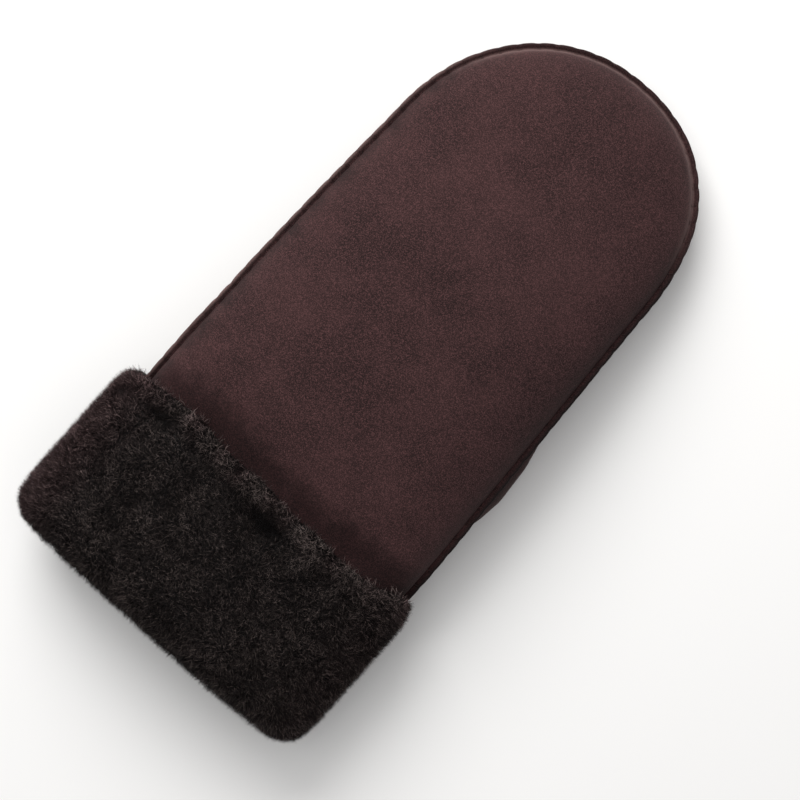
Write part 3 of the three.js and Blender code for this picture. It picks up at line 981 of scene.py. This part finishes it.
def cuff_section():
    """Rows of the cuff's section: distance from the fold, half width, half height, rim share."""
    wool, rim = CUFF_WOOL, CUFF_HEIGHT
    body_wide = float(half_width(0.0))
    body_high = float(profile("back", 0.0))
    out_wide = CUFF_WIDTH / 2
    out_high = body_high + wool
    slot_wide = body_wide - NARROW_FLANGE - LEATHER - 2 * GAP
    slot_high = body_high - LEATHER - 2 * GAP
    mouth_wide = slot_wide - LINING
    mouth_high = slot_high - LINING
    return [
        (PANEL_START - GAP, body_wide + 2 * GAP, body_high + GAP, 0, 0),
        (0.89 * rim, body_wide + 2 * GAP, body_high + GAP, 0, 0),
        (rim - 0.14 * wool, body_wide + 0.14 * wool, body_high + 0.19 * wool, 1, 0.2),
        (rim + 0.05 * wool, body_wide + 0.4 * wool, body_high + 0.47 * wool, 1, 0.7),
        (rim - 0.16 * wool, out_wide - 0.16 * wool, out_high - 0.22 * wool, 0.8, 1),
        (rim - 0.7 * wool, out_wide - 0.04 * wool, out_high - 0.05 * wool, 0.4, 1),
        (0.78 * rim, out_wide, out_high, 0, 1),
        (0.6 * rim, out_wide, out_high, 0, 1),
        (0.41 * rim, out_wide, out_high, 0, 1),
        (2 * wool, out_wide, out_high, 0, 1),
        (0.94 * wool, out_wide - 0.1 * wool, out_high - 0.1 * wool, 0, 1),
        (0.35 * wool, out_wide - 0.35 * wool, out_high - 0.35 * wool, 0, 1),
        (0, out_wide - 0.75 * wool, out_high - 0.75 * wool, 0, 1),
        (0.06 * wool, mouth_wide + 0.59 * wool, mouth_high + 0.59 * wool, 0, 0.7),
        (0.42 * wool, mouth_wide + 0.19 * wool, mouth_high + 0.19 * wool, 0, 0.5),
        (0.94 * wool, mouth_wide, mouth_high, 0, 0.4),
        (LINING_START - GAP, mouth_wide, mouth_high, 0, 0.3),
        (LINING_START - GAP, slot_wide, slot_high, 0, 0),
        (PANEL_START - GAP, slot_wide, slot_high, 0, 0),
    ]


def even_section():
    """The section with even steps and eased corners."""
    rows = np.array([*cuff_section(), cuff_section()[0]], float)
    step = np.hypot(np.diff(rows[:, 0]), np.diff(rows[:, 2]))
    run = np.concatenate([[0], np.cumsum(step)])
    wanted = np.linspace(0, run[-1], int(run[-1] / BED_STEP))[:-1]
    even = np.stack([np.interp(wanted, run, rows[:, c]) for c in range(rows.shape[1])], axis=1)
    for _ in range(2):
        even = 0.5 * even + 0.25 * (np.roll(even, 1, axis=0) + np.roll(even, -1, axis=0))
    return even


def rim_shift(x, up):
    """How far the ragged rim stands from its mean height."""
    back = CUFF_HEIGHT * read(RIM, "shift", x / CUFF_WIDTH)
    return np.where(up > 0, back, 0.5 * back)


def wool_rise(x, y, up):
    """Rise of the tufts on the back of the cuff."""
    rise = np.zeros_like(x)
    for tx, below, high, wide in zip(*TUFTS.values()):
        along = ((1 - below) * CUFF_HEIGHT - y) / CUFF_WIDTH
        far = np.hypot(x / CUFF_WIDTH - tx, along) / wide
        rise += high * np.exp(-far * far)
    return CUFF_WOOL * np.where(up > 0, rise, 0.0)


def below_rim(x, y):
    """How far a point of the back lies below the ragged rim."""
    return CUFF_HEIGHT * (1 + read(RIM, "shift", x / CUFF_WIDTH)) - y


def rim_locks(x, y, up):
    """Curled locks that stand along the rim, and the hollow behind them."""
    below = below_rim(x, y)
    ridge = np.exp(-(((below - 3.2) / 2.4) ** 2)) * (1.1 + 2.7 * rim_noise(x, 6.5, 12.0))
    hollow = np.exp(-(((below - 9.5) / 3.0) ** 2)) * (1.0 + 2.4 * rim_noise(x, 9.0, 15.0))
    return np.where(up > 0.3, ridge - hollow, 0.0)


def cuff_points():
    """Points of the cuff's bed, with how much wool grows on each."""
    section = even_section()
    angle = np.linspace(0, 2 * math.pi, CUFF_TURNS + 1)[:, None]
    level, wide, high, edge, grows = (section[None, :, c] for c in range(5))
    across = np.cos(angle)
    close = (1 - np.abs(across) ** SECTION_POWER).clip(0) ** pinch_at(0.0)
    up = np.sign(np.round(np.sin(angle), 9)) * close
    y = level + edge * rim_shift(across * wide, up)
    rise = grows * (wool_rise(across * wide, y, up) + rim_locks(across * wide, y, up))
    sunk = PILE * grows
    x = middle(0.0) * (1 - grows) + across * (wide + 0.6 * rise * np.abs(across) - sunk)
    z = profile("seam", 0.0) + up * (high + rise - sunk + np.where(up < 0, CUFF_PRESS * grows, 0))
    y = y + 0.95 * sunk * (1 - smooth_step(level, 0.5, 9.0)) * grows - 0.5 * sunk * edge
    # The tint is the hide's red-brown at the thumb's end and in some rim locks, and at the far end that
    # red-brown with a painted rim light.
    thumb_end = smooth_step(x, 0.3 * CUFF_WIDTH, 0.47 * CUFF_WIDTH)
    far_end = smooth_step(-x, 0.30 * CUFF_WIDTH, 0.48 * CUFF_WIDTH)
    some_locks = np.clip(0.25 + 2.0 * rim_noise(x, 8.0, 21.0), 0, 1)
    at_rim = np.exp(-(((below_rim(x, y) - 2.5) / 4.0) ** 2)) * some_locks
    tint = 0.25 * thumb_end + 1.0 * far_end + 0.7 * at_rim
    # The lift is painted light, higher on raised locks and towards the thumb's end.
    lift = 0.5 + rise / 6.0 + 0.1 * smooth_step(x, 0.05 * CUFF_WIDTH, 0.4 * CUFF_WIDTH)
    # The bed's own tone and place along a strand are 0, so it takes the painted root shade and is as dark
    # as the strands' roots.
    values = {"grows": grows + 0 * x, "tint": tint, "lift": lift, "along": 0 * x, "tone": 0 * x}
    return x, y, np.maximum(z, 0.0), values


bm = grid_mesh(*cuff_points())
bmesh.ops.remove_doubles(bm, verts=bm.verts, dist=0.001 * MM)
open_edges = [edge for edge in bm.edges if edge.is_boundary]
bmesh.ops.bridge_loops(bm, edges=open_edges)
bmesh.ops.recalc_face_normals(bm, faces=bm.faces)
cuff_bed = finish_piece("cuff_bed", bm, WOOL_LOOK, "wool", "cuff")

# %% [markdown]
# The hand is lined with the wool of the same hide, pressed by wear. Its two solids are remeshed
# into one soft form, and short strands grow on it where the mouth of the cuff shows it.

# %% Bed of the lining
LINING_LIFT = 0.4
hand_lining = soft_copy(
    "hand_lining",
    "back_wool",
    "palm_wool",
    voxel=LINING_VOXEL,
    smoothing=LINING_SMOOTHING,
)
# The lining's lift is a painted light level, lower than on most of the cuff's pile.
lining_light_level = hand_lining.data.attributes.new("lift", "FLOAT", "POINT")
for vert in hand_lining.data.vertices:
    lining_light_level.data[vert.index].value = LINING_LIFT
dress(hand_lining, WOOL_LOOK, "lining_wool", "back_wool", "palm_wool")

# %% [markdown]
# Wool could be a hair system, but curves don't reach the exported model. Geometry Nodes scatter
# points over the bed, set one thin three-sided cone on each, lean it the way the wool lies there,
# and make the copies real. The guard hairs and the short under-hair are straight cones of one
# segment, and only the curled hair of the rim has two segments and a bend, so a million triangles
# cover the whole cuff. The real hairs are finer and denser than that allows.

# %% Which way the wool lies
FLOW_SIZE = 15.0
LOCK_SIZE = 4.5
STRAY_SIZE = 1.9
NOISE_SEED = 7

# Vector noise takes its offsets from a seed that Blender sets by the clock. A fixed seed makes
# every run grow the same wool.
noise.seed_set(NOISE_SEED)


def comb(piece, lean, clump, mask):
    """Write on each point of a bed which way its strands lie, and how many grow there."""
    mesh = piece.data
    mesh.attributes.new("lie", "FLOAT_VECTOR", "POINT")
    mesh.attributes.new("thick", "FLOAT", "POINT")
    lie, thick = mesh.attributes["lie"], mesh.attributes["thick"]
    for vert in mesh.vertices:
        place = vert.co / MM
        angle = math.pi * (0.7 + 2.2 * noise.noise(place / FLOW_SIZE))
        flow = Vector((math.cos(angle), math.sin(angle), 0.25 * math.sin(2 * angle)))
        flow = flow - flow.dot(vert.normal) * vert.normal
        centre = noise.voronoi(place / LOCK_SIZE)[1][0] * LOCK_SIZE
        inwards = (centre - place) / LOCK_SIZE
        inwards = inwards - inwards.dot(vert.normal) * vert.normal
        stray = noise.noise_vector(place / STRAY_SIZE)
        way = vert.normal * math.cos(lean) + 0.7 * flow * math.sin(lean) + clump * inwards + 0.7 * stray
        off_leather = Vector((0.0, -0.8, math.copysign(0.5, vert.normal.z)))
        way = way + off_leather * float(smooth_step(vert.normal.y, 0.15, 0.8))
        lie.data[vert.index].vector = way.normalized()
        thick.data[vert.index].value = mask(place, vert.normal, vert.index)


# %% Strands of wool
FLOAT = {"data_type": "FLOAT"}
VECTOR = {"data_type": "FLOAT_VECTOR"}
SHORTEST, LONGEST = 0.65, 1.1
FEW_LIGHT_HAIRS = 5.0
LOWEST = 0.1


def strand_shape(node, length, width, bend, segments):
    """One strand: a thin cone that is marked along its length and bent to one side."""
    cone = node(
        "GeometryNodeMeshCone",
        {"fill_type": "NGON"},
        {
            "Vertices": 3,
            "Side Segments": segments,
            "Radius Top": 0.0,
            "Radius Bottom": width / 2 * MM,
            "Depth": length * MM,
        },
    )
    spot = node("GeometryNodeInputPosition")
    parts = node("ShaderNodeSeparateXYZ", inputs={0: spot})
    along = node("ShaderNodeMath", {"operation": "DIVIDE"}, {0: parts.outputs["Z"], 1: length * MM})
    marked = node(
        "GeometryNodeStoreNamedAttribute",
        {**FLOAT, "domain": "POINT"},
        {"Geometry": cone, "Name": "along", "Value": along},
    )
    curve = node("ShaderNodeMath", MULTIPLY, {0: along, 1: along})
    aside = node("ShaderNodeMath", MULTIPLY, {0: curve, 1: bend * MM})
    offset = node("ShaderNodeCombineXYZ", inputs={"X": aside})
    return node("GeometryNodeSetPosition", inputs={"Geometry": marked, "Offset": offset})


def strand_tree(name, density, jitter, bright, seed, **shape):
    """Geometry Nodes that grow strands of one kind on a bed."""
    tree = bpy.data.node_groups.new(name, "GeometryNodeTree")
    for end in ("INPUT", "OUTPUT"):
        tree.interface.new_socket("Geometry", in_out=end, socket_type="NodeSocketGeometry")
    node = partial(add_node, tree)
    bed = node("NodeGroupInput")
    thick, lie = (
        node("GeometryNodeInputNamedAttribute", kind, {"Name": label})
        for kind, label in ((FLOAT, "thick"), (VECTOR, "lie"))
    )
    dense = node("ShaderNodeMath", MULTIPLY, {0: thick, 1: density / MM**2})
    scatter = node(
        "GeometryNodeDistributePointsOnFaces",
        {"distribute_method": "RANDOM"},
        {"Mesh": bed, "Density": dense, "Seed": seed},
    )
    strand = strand_shape(node, **shape)

    stray = node(
        "FunctionNodeRandomValue",
        VECTOR,
        {0: (-jitter,) * 3, 1: (jitter,) * 3, "Seed": seed + 1},
    )
    twist, size, luck = (
        node("FunctionNodeRandomValue", FLOAT, {2: low, 3: high, "Seed": seed + step}).outputs[1]
        for step, low, high in ((2, 0.0, 2 * math.pi), (3, SHORTEST, LONGEST), (4, 0.0, 1.0))
    )
    way = node("ShaderNodeVectorMath", ADD, {0: lie, 1: stray})
    stand = node("FunctionNodeAlignRotationToVector", {"axis": "Z"}, {"Vector": way})
    spin = node("FunctionNodeAxisAngleToRotation", inputs={"Axis": (0.0, 0.0, 1.0), "Angle": twist})
    turned = node("FunctionNodeRotateRotation", {"rotation_space": "LOCAL"}, {0: stand, 1: spin})
    grown = node(
        "GeometryNodeInstanceOnPoints",
        inputs={"Points": scatter, "Instance": strand, "Rotation": turned, "Scale": size},
    )
    # A few strands get a light tone: lighter hairs of the wool that also stand in for painted glints.
    rare = node("ShaderNodeMath", POWER, {0: luck, 1: FEW_LIGHT_HAIRS})
    lit = node("ShaderNodeMath", MULTIPLY, {0: rare, 1: bright})
    toned = node(
        "GeometryNodeStoreNamedAttribute",
        {**FLOAT, "domain": "INSTANCE"},
        {"Geometry": grown, "Name": "tone", "Value": lit},
    )
    real = node("GeometryNodeRealizeInstances", inputs={0: toned})

    # No strand goes below the surface that the mitten lies on.
    where = node("GeometryNodeInputPosition")
    split = node("ShaderNodeSeparateXYZ", inputs={0: where})
    above = node("ShaderNodeMath", {"operation": "MAXIMUM"}, {0: split.outputs["Z"], 1: LOWEST * MM})
    joined = node(
        "ShaderNodeCombineXYZ",
        inputs={"X": split.outputs["X"], "Y": split.outputs["Y"], "Z": above},
    )
    laid = node("GeometryNodeSetPosition", inputs={"Geometry": real, "Position": joined})
    node("NodeGroupOutput", inputs={0: laid})
    return tree


def grow(name, bed, slot, mask, lean, clump, **strand):
    """Grow one piece of wool on a bed."""
    piece = place_object(name, bed.data.copy())
    comb(piece, math.radians(lean), clump, mask)
    wool = piece.modifiers.new("wool", "NODES")
    wool.node_group = strand_tree(name, **strand)
    apply_modifiers(piece)
    return dress(piece, WOOL_LOOK, slot)


# %% [markdown]
# On the hide the wool is one pile, full on the back of the cuff, thinner over the rim and matted
# underneath. Here it grows in zones, because a piece may hold only so many triangles, and so it
# is densest where it shows. A zone says how much grows at a point of the bed, from its place in
# millimetres, its normal and its index.

# %% Zones of the cuff
MIDDLE_HEIGHT = float(profile("seam", 0.0))
SIDE_TURN = -0.15
PILE_GROWS = 0.65
MOUTH_GROWS = 0.25
RIM_DEPTH = 8


def grows_at(index):
    return cuff_bed.data.attributes["grows"].data[index].value


def top_side(place, normal, index):
    """The back of the cuff, with its two ends. Over the rim the wool thins out."""
    thinner = 1 - 0.6 * float(smooth_step(normal.y, 0.3, 0.9))
    return thinner * grows_at(index) * float(normal.z > SIDE_TURN and grows_at(index) > PILE_GROWS)


def top_left(place, normal, index):
    return top_side(place, normal, index) * float(place.x <= 0)


def top_right(place, normal, index):
    return top_side(place, normal, index) * float(place.x > 0)


def under_side(place, normal, index):
    return float(normal.z <= SIDE_TURN and grows_at(index) > PILE_GROWS)


def mouth_side(place, normal, index):
    grows = grows_at(index)
    return float(MOUTH_GROWS < grows <= PILE_GROWS or (grows > MOUTH_GROWS and normal.y < -0.6))


def rim_side(place, normal, index):
    below = CUFF_HEIGHT + float(rim_shift(place.x, 1.0)) - (place.y + LENGTH / 2)
    tufted = float(np.clip(0.75 + 1.6 * noise.noise(place / 6.0), 0, 1))
    return tufted * float(below < RIM_DEPTH and grows_at(index) > 0.5 and normal.z > 0.25)


UNDER_HAIR = dict(length=3.3, width=0.24, bend=0.0, segments=1, jitter=0.6, bright=0.45)
GUARD_HAIR = dict(length=3.2, width=0.18, bend=0.0, segments=1, jitter=0.8, bright=1.7)
RIM_HAIR = dict(length=3.2, width=0.26, bend=2.4, segments=2, jitter=0.8, bright=2.2)

# Name, zone, lean in degrees, clumping, strands per square millimetre, seed and kind
for name, zone, lean, clump, density, seed, strand in (
    ("cuff_under_hair_left", top_left, 38, 0.4, 5.0, 11, UNDER_HAIR),
    ("cuff_under_hair_right", top_right, 38, 0.4, 5.0, 21, UNDER_HAIR),
    ("cuff_guard_hair_left", top_left, 44, 0.5, 5.2, 31, GUARD_HAIR),
    ("cuff_guard_hair_right", top_right, 44, 0.5, 5.2, 41, GUARD_HAIR),
    ("cuff_rim_hair", rim_side, 30, 1.6, 6.5, 51, RIM_HAIR),
    ("cuff_underside_hair", under_side, 52, 0.5, 2.1, 61, UNDER_HAIR),
    ("cuff_mouth_hair", mouth_side, 45, 0.4, 2.1, 71, UNDER_HAIR),
):
    grow(name, cuff_bed, "wool", zone, lean, clump, density=density, seed=seed, **strand)


def lining_mouth(place, normal, index):
    """The lining shows only in the mouth of the cuff."""
    centre = Vector((middle(0.0), place.y, MIDDLE_HEIGHT))
    return float(place.y < -0.35 * LENGTH and normal.dot(centre - place) > 0)


grow("lining_hair", hand_lining, "lining_wool", lining_mouth, 50, 0.4, density=1.0, seed=81, **UNDER_HAIR)

# %% [markdown]
# The stage is a plain pale floor under a soft white sky. A broad lamp on the upper left gives the
# leather its gentle modelling and lights the cut edge on that side.

# %% Floor and light
FLOOR_HALF = 3.0
FLOOR_DROP = 0.1
SKY_STRENGTH = 0.43


def studio_paper():
    material, node, _ = new_material("matte_studio_paper")
    surface = node(
        "ShaderNodeBsdfPrincipled",
        inputs={"Base Color": linear("#f4f3f1"), "Roughness": 0.95, "Specular IOR Level": 0.1},
    )
    node("ShaderNodeOutputMaterial", inputs={"Surface": surface})
    return material


bm = bmesh.new()
bmesh.ops.create_grid(bm, x_segments=1, y_segments=1, size=FLOOR_HALF)
bmesh.ops.translate(bm, verts=bm.verts, vec=(0, 0, -FLOOR_DROP * MM))
floor = place_object("floor", mesh_from("floor", bm))
floor.data.materials.append(studio_paper())

world = bpy.data.worlds.new("soft_white_sky")
world.use_nodes = True
sky = world.node_tree.nodes["Background"]
sky.inputs["Color"].default_value = linear("#fbfbfd")
sky.inputs["Strength"].default_value = SKY_STRENGTH
bpy.context.scene.world = world


def soft_lamp(name, place, size, power):
    """A square area lamp that looks at the mitten."""
    data = bpy.data.lights.new(name, "AREA")
    data.shape = "SQUARE"
    data.size = size
    data.energy = power
    lamp = place_object(name, data)
    lamp.location = place
    lamp.rotation_euler = (-Vector(place)).to_track_quat("-Z", "Y").to_euler()


soft_lamp("key_lamp", (-0.8, 0.55, 0.85), 0.8, 15.0)
soft_lamp("top_lamp", (-0.35, 0.1, 1.6), 1.2, 7.5)

# %% [markdown]
# The photograph looks straight down, and the mitten leans 48.3 degrees up to the right in it. So
# the camera hangs above the mitten and is turned the rest of the right angle about the vertical.

# %% Camera
MITTEN_LEAN = 48.3
CAMERA_PLACE = (0.01397, -0.0122, 0.7385)
LENS_MM = 85

camera_data = bpy.data.cameras.new("camera")
camera_data.lens = LENS_MM
camera_data.sensor_width = 36
camera_data.clip_start = 0.05
camera = place_object("camera", camera_data)
camera.location = CAMERA_PLACE
camera.rotation_euler = (0, 0, math.radians(90 - MITTEN_LEAN))
bpy.context.scene.camera = camera
bpy.context.scene.view_settings.view_transform = "Standard"
